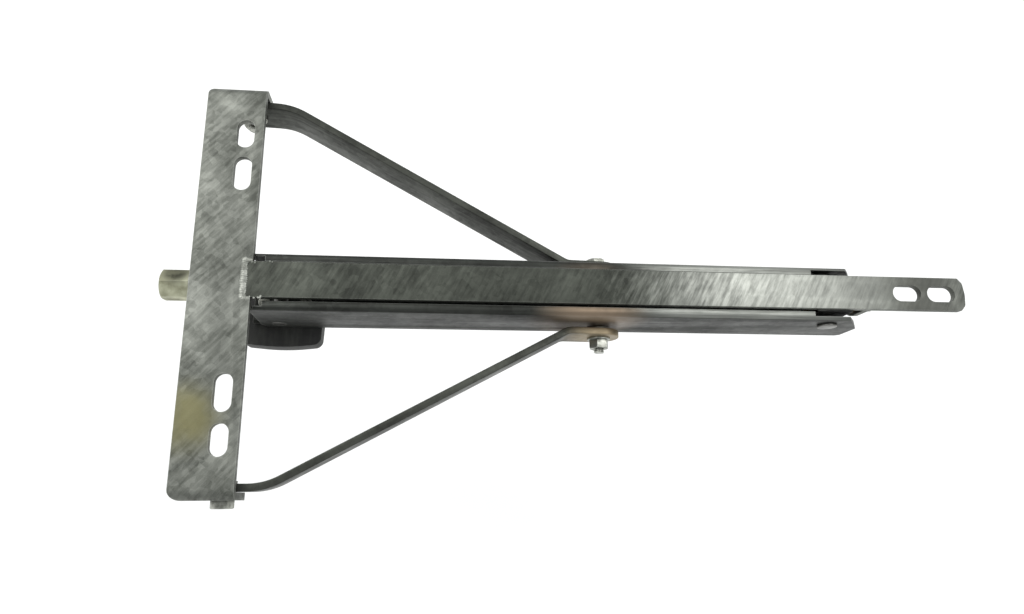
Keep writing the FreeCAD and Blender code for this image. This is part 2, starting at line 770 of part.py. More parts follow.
lip_cuts = [rounded(lip_end), rounded(lip_start)]
pocket(leg, "lip_cuts", "XY_Plane", lip_cuts, "{leg_top} + {leg_wall} + 1")
web_from = FOOT.x + 28
web_end = [(leg_x - 1, -inside), (web_from, -inside), (web_from, inside), (leg_x - 1, inside)]
web_to = UPPER.x + dim("web_end_gap")
web_start = [
    (web_to, -inside),
    (leg_far + 1, -inside),
    (leg_far + 1, inside),
    (web_to, inside),
]
web_cuts = [rounded(web_end), rounded(web_start)]
pocket(
    leg, "web_cuts", "XY_Plane", web_cuts, "{leg_wall} + 2", offset=bottom - 1, reverse=True
)
leg_holes = [
    circle(MID.x, MID.z, BOLT_BORE),
    circle(UPPER.x, UPPER.z, dim("stub_diameter") / 2),
    circle(FOOT.x, FOOT.z, dim("foot_pin_diameter") / 2),
]
pocket(leg, "pivot_holes", "XZ_Plane", leg_holes)
keep(leg, "leg_channel")

tube = cylinder(
    "spacer_outside",
    Vector(MID.x, -inside, MID.z),
    "y",
    "{spacer_diameter} / 2",
    "{leg_width} - 2 * {leg_wall}",
)
tube_bore = cylinder(
    "spacer_bore",
    Vector(MID.x, -inside - 1, MID.z),
    "y",
    "{bolt_diameter} / 2 + {running_fit}",
    "{leg_width}",
)
keep(cut("spacer_tube_solid", tube, [tube_bore]), "spacer_tube")

stubs = []
stub_start = half_width + PLAY + 0.1
for side in (-1, 1):
    hand = "left" if side > 0 else "right"
    low = stub_start if side > 0 else -HALF_LEG
    head_low = HALF_LEG if side > 0 else -HALF_LEG - dim("stub_head_height")
    shank = cylinder(
        f"stub_shank_{hand}",
        Vector(UPPER.x, low, UPPER.z),
        "y",
        "{stub_diameter} / 2",
        f"{HALF_LEG - stub_start}",
    )
    head = cylinder(
        f"stub_head_{hand}",
        Vector(UPPER.x, head_low, UPPER.z),
        "y",
        "{stub_head} / 2",
        "{stub_head_height}",
    )
    stubs.append(fuse(f"pivot_stub_{hand}", [shank, head]))
keep(group("pivot_stub_set", stubs), "pivot_stubs")
foot_pin = cylinder(
    "foot_pin_solid",
    Vector(FOOT.x, -HALF_LEG, FOOT.z),
    "y",
    "{foot_pin_diameter} / 2",
    "{leg_width}",
)
keep(foot_pin, "foot_pin")

# ---------------------------------------------------------------- braces: flat bars, cranked at both ends
run = MID - EAR
tilt = math.degrees(math.atan2(-run.z, run.x))
brace_span = run.Length
half_height = dim("brace_height") / 2
leg_side = HALF_LEG + dim("brace_gap")


def brace(label, side):
    """Flat bar from an ear to the mid pivot, in a frame whose X axis joins the two pivots."""
    placement = Placement(Vector(EAR.x, 0, EAR.z), Rotation(Vector(0, 1, 0), tilt))
    bar = new_body(label, placement)
    slope = dim("brace_slope")
    bend = brace_t * (math.sqrt(1 + slope * slope) - 1) / slope
    first = dim("brace_slant_start")
    last = first + (brace_outer - leg_side - brace_t) / slope
    ear_bend = dim("ear_bend")
    leg_bend = dim("leg_bend")
    back = -half_height
    front = brace_span + half_height
    outline = [
        (back, side * brace_outer),
        (first, side * brace_outer, ear_bend),
        (last, side * (leg_side + brace_t), leg_bend - brace_t),
        (front, side * (leg_side + brace_t)),
        (front, side * leg_side),
        (last - bend, side * leg_side, leg_bend),
        (first - bend, side * brace_inner, ear_bend - brace_t),
        (back, side * brace_inner),
    ]
    pad(bar, "bar", "XY_Plane", [rounded(outline)], "{brace_height}", symmetric=True)
    trims = []
    for centre, direction in ((0.0, -1), (brace_span, 1)):
        edge = centre + direction * half_height
        past = edge + direction
        for up in (-1, 1):
            trims.append(
                [
                    Part.LineSegment(Vector(past, 0, 0), Vector(edge, 0, 0)),
                    Part.Arc(
                        Vector(edge, 0, 0),
                        Vector(
                            centre + direction * half_height * math.sqrt(0.5),
                            up * half_height * math.sqrt(0.5),
                            0,
                        ),
                        Vector(centre, up * half_height, 0),
                    ),
                    Part.LineSegment(
                        Vector(centre, up * half_height, 0), Vector(centre, up * (half_height + 1), 0)
                    ),
                    Part.LineSegment(
                        Vector(centre, up * (half_height + 1), 0),
                        Vector(past, up * (half_height + 1), 0),
                    ),
                    Part.LineSegment(Vector(past, up * (half_height + 1), 0), Vector(past, 0, 0)),
                ]
            )
    for number, trim in enumerate(trims):
        pocket(bar, f"end_{number}", "XZ_Plane", [trim])
    holes = [circle(0, 0, BOLT_BORE), circle(brace_span, 0, dim("bolt_diameter") / 2)]
    pocket(bar, "pivot_holes", "XZ_Plane", holes)
    return keep(bar, label)


brace("brace_left", 1)
brace("brace_right", -1)

brace_face = leg_side + brace_t
spacer_t = dim("brace_gap") - 2 * PLAY
mid_spacers = []
for side in (-1, 1):
    hand = "left" if side > 0 else "right"
    inner = side * (HALF_LEG + PLAY) - (0 if side > 0 else spacer_t)
    spot = Vector(MID.x, inner, MID.z)
    mid_spacers.append(washer(f"mid_spacer_{hand}", spot, "({brace_gap} - 2 * {play})"))
keep(group("mid_spacer_set", mid_spacers), "mid_spacers")
washer_face = -brace_face - washer_t
nut_face = washer_face - nut_t
keep(washer("mid_washer_solid", Vector(MID.x, washer_face, MID.z)), "mid_washer")
keep(nut("mid_nut_solid", Vector(MID.x, nut_face, MID.z), 10), "mid_nut")
mid_shank = brace_face - nut_face + 3
mid_bolt = bolt("mid_bolt_solid", Vector(MID.x, brace_face, MID.z), 1, mid_shank, 10)
keep(mid_bolt, "mid_bolt")

# ---------------------------------------------------------------- foot: folded bracket on a moulded pad
half_bracket = dim("bracket_width") / 2
sheet_t = dim("bracket_thickness")
pad_top = -dim("foot_top")
bracket = new_body("foot_bracket")
lug_top = FOOT.z + dim("lug_height")
bracket_section = [
    (-half_bracket, lug_top),
    (-half_bracket, pad_top, 3.5),
    (half_bracket, pad_top, 3.5),
    (half_bracket, lug_top),
    (half_bracket - sheet_t, lug_top),
    (half_bracket - sheet_t, pad_top + sheet_t, 1),
    (-half_bracket + sheet_t, pad_top + sheet_t, 1),
    (-half_bracket + sheet_t, lug_top),
]
half_bracket_x = dim("bracket_length") / 2
pad(
    bracket,
    "channel",
    "YZ_Plane",
    [rounded(bracket_section)],
    "{bracket_length}",
    offset=FOOT.x - half_bracket_x,
)
base_top = pad_top + sheet_t + 0.5
for side in (-1, 1):
    shoulder = [
        (FOOT.x + side * (half_bracket_x + 1), base_top),
        (FOOT.x + side * 12, base_top, 1.5),
        (FOOT.x + side * dim("lug_height"), lug_top, 4),
        (FOOT.x + side * 2, lug_top, 1),
        (FOOT.x + side * 2, lug_top + 3),
        (FOOT.x + side * (half_bracket_x + 1), lug_top + 3),
    ]
    pocket(bracket, f"shoulder_{side + 1}", "XZ_Plane", [rounded(shoulder)])
pin_hole = circle(FOOT.x, FOOT.z, dim("foot_pin_diameter") / 2 + FIT)
pocket(bracket, "pin_hole", "XZ_Plane", [pin_hole])
rivet_spots = [FOOT.x - dim("rivet_offset"), FOOT.x + dim("rivet_offset")]
rivet_radius = dim("rivet_diameter") / 2
rivet_holes = [circle(x, 0, rivet_radius) for x in rivet_spots]
pocket(bracket, "rivet_holes", "XY_Plane", rivet_holes)
keep(bracket, "foot_bracket")

sole = -dim("foot_bottom")
pad_height = pad_top - sole
foot = new_body("foot_pad")
heel = FOOT.x - dim("foot_heel")
toe = FOOT.x + dim("foot_toe")
half_foot = dim("foot_width") / 2
bulge = dim("foot_bulge")
foot_corner = dim("foot_corner")
side_round = dim("foot_side_round")
foot_outline = [
    (heel, -half_foot + bulge, foot_corner),
    (FOOT.x, -half_foot, side_round),
    (toe - bulge / 2, -half_foot + bulge, foot_corner),
    (toe, 0, side_round),
    (toe - bulge / 2, half_foot - bulge, foot_corner),
    (FOOT.x, half_foot, side_round),
    (heel, half_foot - bulge, foot_corner),
]
pad(foot, "block", "XY_Plane", [rounded(foot_outline)], "{foot_bottom} - {foot_top}", offset=sole)
doc.recompute()
block = foot.Tip
rim = []
for number, edge in enumerate(block.Shape.Edges, start=1):
    if edge.BoundBox.ZMax < sole + 1e-6:
        rim.append(f"Edge{number}")
sole_chamfer = foot.newObject("PartDesign::Chamfer", "foot_sole_chamfer")
sole_chamfer.Base = (block, rim)
bind(sole_chamfer, "Size", "{sole_chamfer}")
groove_half = dim("tread_width") / 2
grooves = []
for step in (-2, -1, 0, 1, 2):
    at = FOOT.x + step * dim("tread_pitch")
    grooves.append(
        rounded(
            [
                (at - groove_half, -half_foot - 1),
                (at + groove_half, -half_foot - 1),
                (at + groove_half, half_foot + 1),
                (at - groove_half, half_foot + 1),
            ]
        )
    )
pocket(foot, "tread", "XY_Plane", grooves, "{tread_depth}", offset=sole, reverse=True)
pocket(foot, "rivet_holes", "XY_Plane", rivet_holes)
recesses = [circle(x, 0, dim("recess_diameter") / 2) for x in rivet_spots]
pocket(foot, "recesses", "XY_Plane", recesses, "{rivet_recess}", offset=sole, reverse=True)
keep(foot, "foot_pad")

recess = dim("rivet_recess")
rivets = []
for number, x in enumerate(rivet_spots):
    shank = cylinder(
        f"rivet_shank_{number}",
        Vector(x, 0, sole + recess),
        "z",
        "{rivet_diameter} / 2",
        "{foot_bottom} - {foot_top} + {bracket_thickness} - {rivet_recess}",
    )
    low_head = cylinder(
        f"rivet_low_{number}", Vector(x, 0, sole + recess - 2), "z", "{rivet_diameter} - 1", "2"
    )
    high_head = cylinder(
        f"rivet_high_{number}", Vector(x, 0, pad_top + sheet_t), "z", "{rivet_diameter} * 0.75", "1"
    )
    rivets.append(fuse(f"rivet_{number}", [shank, low_head, high_head]))
keep(group("rivet_set", rivets), "foot_rivets")

# ---------------------------------------------------------------- check and export
doc.recompute()
for obj in doc.Objects:
    if "Invalid" in obj.State or "Error" in obj.State:
        raise RuntimeError(f"{obj.Label}: {obj.State}")
os.makedirs("parts", exist_ok=True)
for node in nodes:
    shape = node.Shape
    if shape.isNull() or not shape.isValid() or not shape.Solids:
        raise RuntimeError(f"{node.Label} is not a valid solid")
    box = shape.BoundBox
    shape.exportStep(f"parts/{node.Label}.step")
    print(
        f"{node.Label:18s} solids {len(shape.Solids)} volume {shape.Volume:9.0f}"
        f"  X {box.XMin:7.1f} {box.XMax:7.1f}  Y {box.YMin:7.1f} {box.YMax:7.1f}"
        f"  Z {box.ZMin:6.1f} {box.ZMax:6.1f}"
    )
print(len(nodes), "sub-parts")
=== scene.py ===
# %% [markdown]
# Winding corner steady, finished for looking at.
#
# The real object is a galvanised steel support leg that bolts under a trailer. This lesson takes
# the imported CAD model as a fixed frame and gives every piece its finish: rounded edges, threads,
# weld beads, and the mottled grey of hot-dip galvanising. Each step explains the piece first.

# %% Load the frame
import json
import math
import random

import bpy
from mathutils import Matrix, Vector


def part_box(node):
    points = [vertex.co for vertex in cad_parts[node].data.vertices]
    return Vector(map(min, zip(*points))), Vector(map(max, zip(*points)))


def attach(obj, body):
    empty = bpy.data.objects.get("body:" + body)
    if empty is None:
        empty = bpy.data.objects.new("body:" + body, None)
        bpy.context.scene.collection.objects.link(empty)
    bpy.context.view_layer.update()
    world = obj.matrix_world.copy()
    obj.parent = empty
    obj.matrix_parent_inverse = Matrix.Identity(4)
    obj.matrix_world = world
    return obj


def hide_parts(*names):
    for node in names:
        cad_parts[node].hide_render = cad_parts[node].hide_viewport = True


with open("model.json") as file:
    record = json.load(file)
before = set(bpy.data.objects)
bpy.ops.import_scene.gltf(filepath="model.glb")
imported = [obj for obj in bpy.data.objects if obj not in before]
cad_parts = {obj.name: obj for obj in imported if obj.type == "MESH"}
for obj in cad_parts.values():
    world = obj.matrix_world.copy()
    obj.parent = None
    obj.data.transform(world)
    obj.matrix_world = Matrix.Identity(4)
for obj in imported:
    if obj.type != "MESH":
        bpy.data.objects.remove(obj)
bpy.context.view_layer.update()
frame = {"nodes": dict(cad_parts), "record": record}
MM = 0.001

# %% [markdown]
# The camera looks almost straight down on the mounting face, a little from the right-hand side,
# with a wide lens about half a metre away, so the near end looks larger than the far one. Its
# place is a point in space, and its direction is three turns about the X, Y and Z axes.

# %% Camera
CAMERA_PLACE = Vector((159.6, -142.8, 483.6)) * MM
CAMERA_TURNS = (14.653, -6.367, -0.546)
SENSOR_WIDTH_MM = 36.0
LENS_MM = 25.72

camera_data = bpy.data.cameras.new("camera")
camera_data.sensor_width = SENSOR_WIDTH_MM
camera_data.lens = LENS_MM
camera_data.clip_start = 0.01
camera_data.clip_end = 50
camera = bpy.data.objects.new("camera", camera_data)
camera.location = CAMERA_PLACE
camera.rotation_euler = [math.radians(turn) for turn in CAMERA_TURNS]
bpy.context.scene.collection.objects.link(camera)
bpy.context.scene.camera = camera
print("camera", tuple(camera.location), "lens", LENS_MM)

# %% [markdown]
# One function turns the usual sRGB hex colours into the linear values that Blender's shaders
# expect, and one small function adds any node, sets its values and joins it to others. A socket
# is named by its label, or by its number where a node has several sockets with one label.


# %% Colour and node helpers
def linear(hex_code):
    """sRGB hex colour to linear RGBA."""
    channels = [int(hex_code[i : i + 2], 16) / 255 for i in (1, 3, 5)]
    curve = [c / 12.92 if c <= 0.04045 else ((c + 0.055) / 1.055) ** 2.4 for c in channels]
    return (*curve, 1.0)


def add(material, kind, sockets=None, **settings):
    """Adds a node; each socket gets a value or a link from another node's output."""
    made = material.node_tree.nodes.new(kind)
    for name, value in settings.items():
        setattr(made, name, value)
    for socket, value in (sockets or {}).items():
        if isinstance(value, bpy.types.NodeSocket):
            material.node_tree.links.new(value, made.inputs[socket])
        else:
            made.inputs[socket].default_value = value
    return made


def start_material(name):
    """A material whose node tree is still empty."""
    material = bpy.data.materials.new(name)
    material.use_nodes = True
    material.node_tree.nodes.clear()
    return material


def finish_material(material, shader):
    """Joins the shader to a new output node."""
    add(material, "ShaderNodeOutputMaterial", {"Surface": shader.outputs[0]})
    print("material", material.name, "with", len(material.node_tree.nodes), "nodes")
    return material


# Sockets of the Mix node when it mixes colours.
FACTOR, FIRST, SECOND = 0, 6, 7
MIXED = 2

# %% [markdown]
# Hot-dip galvanised steel is dipped in molten zinc. The zinc freezes in crystals a few
# millimetres across (spangle), runs down in streaks while it drains, and weathers in cloudy
# patches, so one piece holds many greys. The colour is therefore built from four patterns, each
# with its size in millimetres: clouds, streaks, crystals and fine grit. The same patterns move
# the roughness and a shallow bump. Rounded edges are painted lighter, partly as wear from
# handling and partly as a painted highlight where edges catch the light. A painted highlight
# (lighter zinc where light falls) and brown rust stain are each kept to one region of a piece
# by a soft mask.

# %% Galvanised steel
CLOUD_MM = 45.0
CRYSTAL_MM = 4.0
GRIT_MM = 0.7
EDGE_MM = 0.9
# How much each pattern counts in the tone, and the span of the sum that the tone is read from.
CLOUD_SHARE = 0.55
STREAK_SHARE = 0.42
CRYSTAL_SHARE = 0.08
GRIT_SHARE = 0.10
TONE_SPAN = (0.45, 0.70)
# Height of the streaks against the grit's, and the depth and strength of the bump they make.
STREAK_RELIEF = 0.7
RELIEF_MM = 0.15
RELIEF_STRENGTH = 0.35
ZINC_METALLIC = 0.8
# A painted highlight's border is pushed along X by up to this share of its fade.
RAGGED_SHARE = 0.6
# The height at which a painted highlight starts is blurred by this much either way.
HEIGHT_BLUR_MM = 0.5
# How streaks thin out the painted highlight, and how clouds break up a stain and the painted shade
# on the drive hexagon.
UNEVEN_SHINE = {"From Min": 0.3, "From Max": 0.62, "To Min": 0.45}
PATCHY_STAIN_AND_SHADE = {"From Min": 0.3, "From Max": 0.55, "To Min": 0.4}
# The middle share of the reach of a stain, and of painted shade, that keeps its full strength, and
# that strength.
STAIN_AND_SHADE_CORE = 0.3
STAIN_AND_SHADE_STRENGTH = 0.95
# Agreement of the rounded normal with the face's own, from an edge fully lightened (wear and
# painted highlight) to a clean face.
EDGE_MATCH = (0.8, 0.99)


def galvanised(
    name,
    dark,
    light,
    streaks_mm,
    tilt=0.0,
    painted_highlight=None,
    stain_and_shade=None,
    rough=(0.62, 0.4),
    edge_wear_and_highlight=0.4,
):
    """Zinc-coated steel, between two greys. streaks_mm is a streak's size along X, Y and Z, and
    tilt turns the streaks about Z. rough goes from dark to light zinc. One region can carry a
    painted highlight, and edges are lightened as wear and painted highlight."""
    material = start_material(name)
    place = add(material, "ShaderNodeTexCoord").outputs["Object"]
    clouds = add(
        material,
        "ShaderNodeTexNoise",
        {"Vector": place, "Scale": 1000 / CLOUD_MM, "Detail": 4.0, "Roughness": 0.6},
    )
    turned = add(
        material,
        "ShaderNodeMapping",
        {
            "Vector": place,
            "Rotation": (0, 0, math.radians(tilt)),
            "Scale": [size * MM for size in streaks_mm],
        },
        vector_type="TEXTURE",
    )
    streaks = add(
        material,
        "ShaderNodeTexNoise",
        {"Vector": turned.outputs[0], "Scale": 1.0, "Detail": 5.0, "Roughness": 0.65},
    )
    crystals = add(
        material, "ShaderNodeTexVoronoi", {"Vector": place, "Scale": 1000 / CRYSTAL_MM}
    )
    crystal_value = add(
        material, "ShaderNodeSeparateColor", {"Color": crystals.outputs["Color"]}
    )
    grit = add(
        material,
        "ShaderNodeTexNoise",
        {"Vector": place, "Scale": 1000 / GRIT_MM, "Detail": 2.0},
    )
    tone = add(
        material,
        "ShaderNodeMath",
        {0: clouds.outputs[0], 1: CLOUD_SHARE, 2: 0.0},
        operation="MULTIPLY_ADD",
    )
    for pattern, share in (
        (streaks.outputs[0], STREAK_SHARE),
        (crystal_value.outputs[0], CRYSTAL_SHARE),
        (grit.outputs[0], GRIT_SHARE),
    ):
        tone = add(
            material,
            "ShaderNodeMath",
            {0: pattern, 1: share, 2: tone.outputs[0]},
            operation="MULTIPLY_ADD",
        )
    tone = add(
        material,
        "ShaderNodeMapRange",
        {"Value": tone.outputs[0], "From Min": TONE_SPAN[0], "From Max": TONE_SPAN[1]},
    )
    colour = add(
        material,
        "ShaderNodeMix",
        {FACTOR: tone.outputs[0], FIRST: linear(dark), SECOND: linear(light)},
        data_type="RGBA",
    )
    # A painted highlight where light falls on one region, then a stain round a point.
    if painted_highlight:
        colour = painted_highlight_region(material, place, streaks, colour, *painted_highlight)
    if stain_and_shade:
        colour = stain_and_shade_region(material, place, clouds, colour, *stain_and_shade)
    colour = worn_and_highlit_edges(material, colour, edge_wear_and_highlight)
    roughness = add(
        material,
        "ShaderNodeMapRange",
        {"Value": tone.outputs[0], "To Min": rough[0], "To Max": rough[1]},
    )
    relief = add(
        material,
        "ShaderNodeMath",
        {0: streaks.outputs[0], 1: STREAK_RELIEF, 2: grit.outputs[0]},
        operation="MULTIPLY_ADD",
    )
    bump = add(
        material,
        "ShaderNodeBump",
        {
            "Strength": RELIEF_STRENGTH,
            "Distance": RELIEF_MM * MM,
            "Height": relief.outputs[0],
        },
    )
    steel = add(
        material,
        "ShaderNodeBsdfPrincipled",
        {
            "Base Color": colour.outputs[MIXED],
            "Roughness": roughness.outputs[0],
            "Normal": bump.outputs[0],
            "Metallic": ZINC_METALLIC,
        },
    )
    return finish_material(material, steel)


def painted_highlight_region(
    material, place, streaks, colour, start_mm, end_mm, fade_mm, after, lowest_mm, shine
):
    """A painted highlight between two distances along X, above a height; after is what is left
    past it.
    """
    axes = add(material, "ShaderNodeSeparateXYZ", {"Vector": place})
    along = axes.outputs[0]
    raised = add(
        material,
        "ShaderNodeMapRange",
        {
            "Value": axes.outputs[2],
            "From Min": (lowest_mm - HEIGHT_BLUR_MM) * MM,
            "From Max": (lowest_mm + HEIGHT_BLUR_MM) * MM,
        },
    )
    wave = add(
        material,
        "ShaderNodeMath",
        {0: streaks.outputs[0], 1: RAGGED_SHARE * fade_mm * MM, 2: along},
        operation="MULTIPLY_ADD",
    )
    rise = add(
        material,
        "ShaderNodeMapRange",
        {
            "Value": wave.outputs[0],
            "From Min": start_mm * MM,
            "From Max": (start_mm + fade_mm) * MM,
        },
        interpolation_type="SMOOTHSTEP",
    )
    fall = add(
        material,
        "ShaderNodeMapRange",
        {
            "Value": wave.outputs[0],
            "From Min": (end_mm - fade_mm) * MM,
            "From Max": end_mm * MM,
            "To Min": 1.0,
            "To Max": after,
        },
        interpolation_type="SMOOTHSTEP",
    )
    both = add(
        material,
        "ShaderNodeMath",
        {0: rise.outputs[0], 1: fall.outputs[0]},
        operation="MULTIPLY",
    )
    uneven = add(
        material,
        "ShaderNodeMapRange",
        {"Value": streaks.outputs[0], **UNEVEN_SHINE},
    )
    streaked = add(
        material,
        "ShaderNodeMath",
        {0: both.outputs[0], 1: uneven.outputs[0]},
        operation="MULTIPLY",
    )
    mask = add(
        material,
        "ShaderNodeMath",
        {0: streaked.outputs[0], 1: raised.outputs[0]},
        operation="MULTIPLY",
    )
    return add(
        material,
        "ShaderNodeMix",
        {FACTOR: mask.outputs[0], FIRST: colour.outputs[MIXED], SECOND: linear(shine)},
        data_type="RGBA",
    )


def stain_and_shade_region(material, place, clouds, colour, centre_mm, reach_mm, tint):
    """Rust and dirt round a point, broken up by the clouds; on the drive hexagon it is painted
    shade.
    """
    distance = add(
        material,
        "ShaderNodeVectorMath",
        {0: place, 1: [c * MM for c in centre_mm]},
        operation="DISTANCE",
    )
    mask = add(
        material,
        "ShaderNodeMapRange",
        {
            "Value": distance.outputs["Value"],
            "From Min": STAIN_AND_SHADE_CORE * reach_mm * MM,
            "From Max": reach_mm * MM,
            "To Min": STAIN_AND_SHADE_STRENGTH,
            "To Max": 0.0,
        },
        interpolation_type="SMOOTHSTEP",
    )
    patches = add(
        material,
        "ShaderNodeMapRange",
        {"Value": clouds.outputs[0], **PATCHY_STAIN_AND_SHADE},
    )
    broken = add(
        material,
        "ShaderNodeMath",
        {0: mask.outputs[0], 1: patches.outputs[0]},
        operation="MULTIPLY",
    )
    return add(
        material,
        "ShaderNodeMix",
        {FACTOR: broken.outputs[0], FIRST: colour.outputs[MIXED], SECOND: linear(tint)},
        data_type="RGBA",
    )


def worn_and_highlit_edges(material, colour, edge_wear_and_highlight, shine="#b9bbb4"):
    """Edges painted lighter, partly as wear from handling and partly as painted highlight: where a
    rounded normal leaves the face's own normal.
    """
    rounded = add(material, "ShaderNodeBevel", {"Radius": EDGE_MM * MM}, samples=8)
    face = add(material, "ShaderNodeNewGeometry").outputs["Normal"]
    match = add(
        material,
        "ShaderNodeVectorMath",
        {0: rounded.outputs[0], 1: face},
        operation="DOT_PRODUCT",
    )
    mask = add(
        material,
        "ShaderNodeMapRange",
        {
            "Value": match.outputs["Value"],
            "From Min": EDGE_MATCH[0],
            "From Max": EDGE_MATCH[1],
            "To Min": edge_wear_and_highlight,
            "To Max": 0.0,
        },
    )
    return add(
        material,
        "ShaderNodeMix",
        {FACTOR: mask.outputs[0], FIRST: colour.outputs[MIXED], SECOND: linear(shine)},
        data_type="RGBA",
    )


plate_zinc = galvanised(
    "galvanised_plate",
    "#50524c",
    "#7f817a",
    (26, 3.2, 26),
    tilt=48,
    stain_and_shade=((6, -92, 0), 30, "#6d6a4c"),
    rough=(0.62, 0.46),
)
rail_zinc = galvanised(
    "galvanised_rail",
    "#2f312c",
    "#4b4e47",
    (2.8, 22, 22),
    tilt=-28,
    # The bright region is a painted highlight where the key soft box's reflection falls on the
    # rail.
    painted_highlight=(315, 560, 110, 0.3, -10, "#a3a59e"),
    stain_and_shade=((522, 0, 0), 36, "#4c4d48"),
    rough=(0.62, 0.46),
)
leg_zinc = galvanised(
    "galvanised_leg",
    "#242522",
    "#393b37",
    (60, 2.5, 2.5),
    # The bright region is a painted highlight on the lit tops of the leg's lips.
    painted_highlight=(300, 500, 60, 0.3, -6.2, "#8f918b"),
    stain_and_shade=((272, -20, -22), 50, "#827260"),
    rough=(0.58, 0.42),
)
brace_zinc = galvanised(
    "galvanised_brace",
    "#2b2c28",
    "#454741",
    (50, 50, 2.2),
    stain_and_shade=((284, -28, -40), 34, "#93856c"),
)

# %% [markdown]
# Screws, nuts and washers are turned steel with a thin electroplated zinc coat. It is smoother
# than hot-dip zinc and shows fine lathe marks. The drive hexagon is plated too, but its coat was
# passivated in chromate, which leaves it pale yellow-green. Oiled machined steel is darker. The
# bronze bushes and the greased cast iron of the travelling nut are made from the same patterns.


# %% Plated and machined steel
# How much lighter plated edges are painted, as wear and painted highlight.
PLATED_EDGE_WEAR_AND_HIGHLIGHT = 0.4
SMEAR_ROUGHENS = 0.12
MARK_DEPTH_MM = 0.05
MARK_STRENGTH = 0.25


def turned_steel(name, dark, light, roughness, ring_mm, smear_mm, stain_and_shade=None):
    """Smooth plated or machined metal: fine machining marks and soft smears of dirt."""
    material = start_material(name)
    place = add(material, "ShaderNodeTexCoord").outputs["Object"]
    smears = add(
        material,
        "ShaderNodeTexNoise",
        {"Vector": place, "Scale": 1000 / smear_mm, "Detail": 4.0, "Roughness": 0.6},
    )
    rings = add(
        material,
        "ShaderNodeTexNoise",
        {"Vector": place, "Scale": 1000 / ring_mm, "Detail": 1.0},
    )
    tone = add(
        material,
        "ShaderNodeMapRange",
        {"Value": smears.outputs[0], "From Min": 0.32, "From Max": 0.66},
    )
    colour = add(
        material,
        "ShaderNodeMix",
        {FACTOR: tone.outputs[0], FIRST: linear(dark), SECOND: linear(light)},
        data_type="RGBA",
    )
    # A mark round a point; on the drive hexagon it is painted shade.
    if stain_and_shade:
        colour = stain_and_shade_region(material, place, smears, colour, *stain_and_shade)
    colour = worn_and_highlit_edges(material, colour, PLATED_EDGE_WEAR_AND_HIGHLIGHT)
    rough = add(
        material,
        "ShaderNodeMapRange",
        {
            "Value": tone.outputs[0],
            "To Min": roughness + SMEAR_ROUGHENS,
            "To Max": roughness,
        },
    )
    bump = add(
        material,
        "ShaderNodeBump",
        {
            "Strength": MARK_STRENGTH,
            "Distance": MARK_DEPTH_MM * MM,
            "Height": rings.outputs[0],
        },
    )
    steel = add(
        material,
        "ShaderNodeBsdfPrincipled",
        {
            "Base Color": colour.outputs[MIXED],
            "Roughness": rough.outputs[0],
            "Normal": bump.outputs[0],
            "Metallic": 1.0,
        },
    )
    return finish_material(material, steel)


zinc_plate = turned_steel("zinc_plated_steel", "#6c6d66", "#b4b5ad", 0.32, 0.5, 7)
passivated = turned_steel(
    "yellow_passivated_steel",
    "#84836c",
    "#c3c4aa",
    0.42,
    0.6,
    12,
    # The stain is painted shade: it darkens the hexagon's upper face, the one facing +Y and +Z.
    stain_and_shade=((-13, 8, -10), 14, "#3f3f34"),
)
oiled_steel = turned_steel("oiled_steel", "#4a4a48", "#83827d", 0.3, 0.5, 10)
bronze = turned_steel("bearing_bronze", "#54442c", "#86704a", 0.42, 0.5, 8)
cast_iron = turned_steel("greased_cast_iron", "#2e2f2e", "#4d4e4b", 0.5, 0.9, 14)

# %% [markdown]
# A weld bead is steel that froze in ripples behind the torch, then was galvanised with the rest.
# It is brighter and smoother than the rolled bars beside it.

# %% Weld metal
weld_metal = galvanised(
    "galvanised_weld", "#62645d", "#a4a69e", (3, 3, 3), rough=(0.5, 0.36), edge_wear_and_highlight=0.1
)

# %% [markdown]
# The foot is moulded rubber filled with carbon black: a dielectric, nearly black, with a fine
# grain from its mould. Grey bands across the pad are painted shading, standing in for the light
# and shade of a curved sole.

# %% Moulded rubber
# Size of the painted shading bands along X, Y and Z.
SHADE_BAND_MM = (9.0, 50.0, 50.0)
MOULD_GRAIN_MM = 0.8

rubber = start_material("moulded_black_rubber")
rubber_place = add(rubber, "ShaderNodeTexCoord").outputs["Object"]
shade_band_place = add(
    rubber,
    "ShaderNodeMapping",
    {"Vector": rubber_place, "Scale": [size * MM for size in SHADE_BAND_MM]},
    vector_type="TEXTURE",
)
shade_band_noise = add(
    rubber,
    "ShaderNodeTexNoise",
    {"Vector": shade_band_place.outputs[0], "Scale": 1.0, "Detail": 4.0, "Roughness": 0.6},
)
# Where the painted shading bands are lighter.
painted_shade_band_mask = add(
    rubber,
    "ShaderNodeMapRange",
    {"Value": shade_band_noise.outputs[0], "From Min": 0.42, "From Max": 0.72},
)
rubber_colour = add(
    rubber,
    "ShaderNodeMix",
    {FACTOR: painted_shade_band_mask.outputs[0], FIRST: linear("#131411"), SECOND: linear("#3a3b36")},
    data_type="RGBA",
)
mould_grain = add(
    rubber,
    "ShaderNodeTexNoise",
    {"Vector": rubber_place, "Scale": 1000 / MOULD_GRAIN_MM, "Detail": 2.0},
)
rubber_bump = add(
    rubber,
    "ShaderNodeBump",
    {"Strength": 0.4, "Distance": 0.1 * MM, "Height": mould_grain.outputs[0]},
)
rubber_rough = add(
    rubber,
    "ShaderNodeMapRange",
    {"Value": shade_band_noise.outputs[0], "To Min": 0.5, "To Max": 0.75},
)
rubber_shader = add(
    rubber,
    "ShaderNodeBsdfPrincipled",
    {
        "Base Color": rubber_colour.outputs[MIXED],
        "Roughness": rubber_rough.outputs[0],
        "Normal": rubber_bump.outputs[0],
        "IOR": 1.52,
    },
)
finish_material(rubber, rubber_shader)

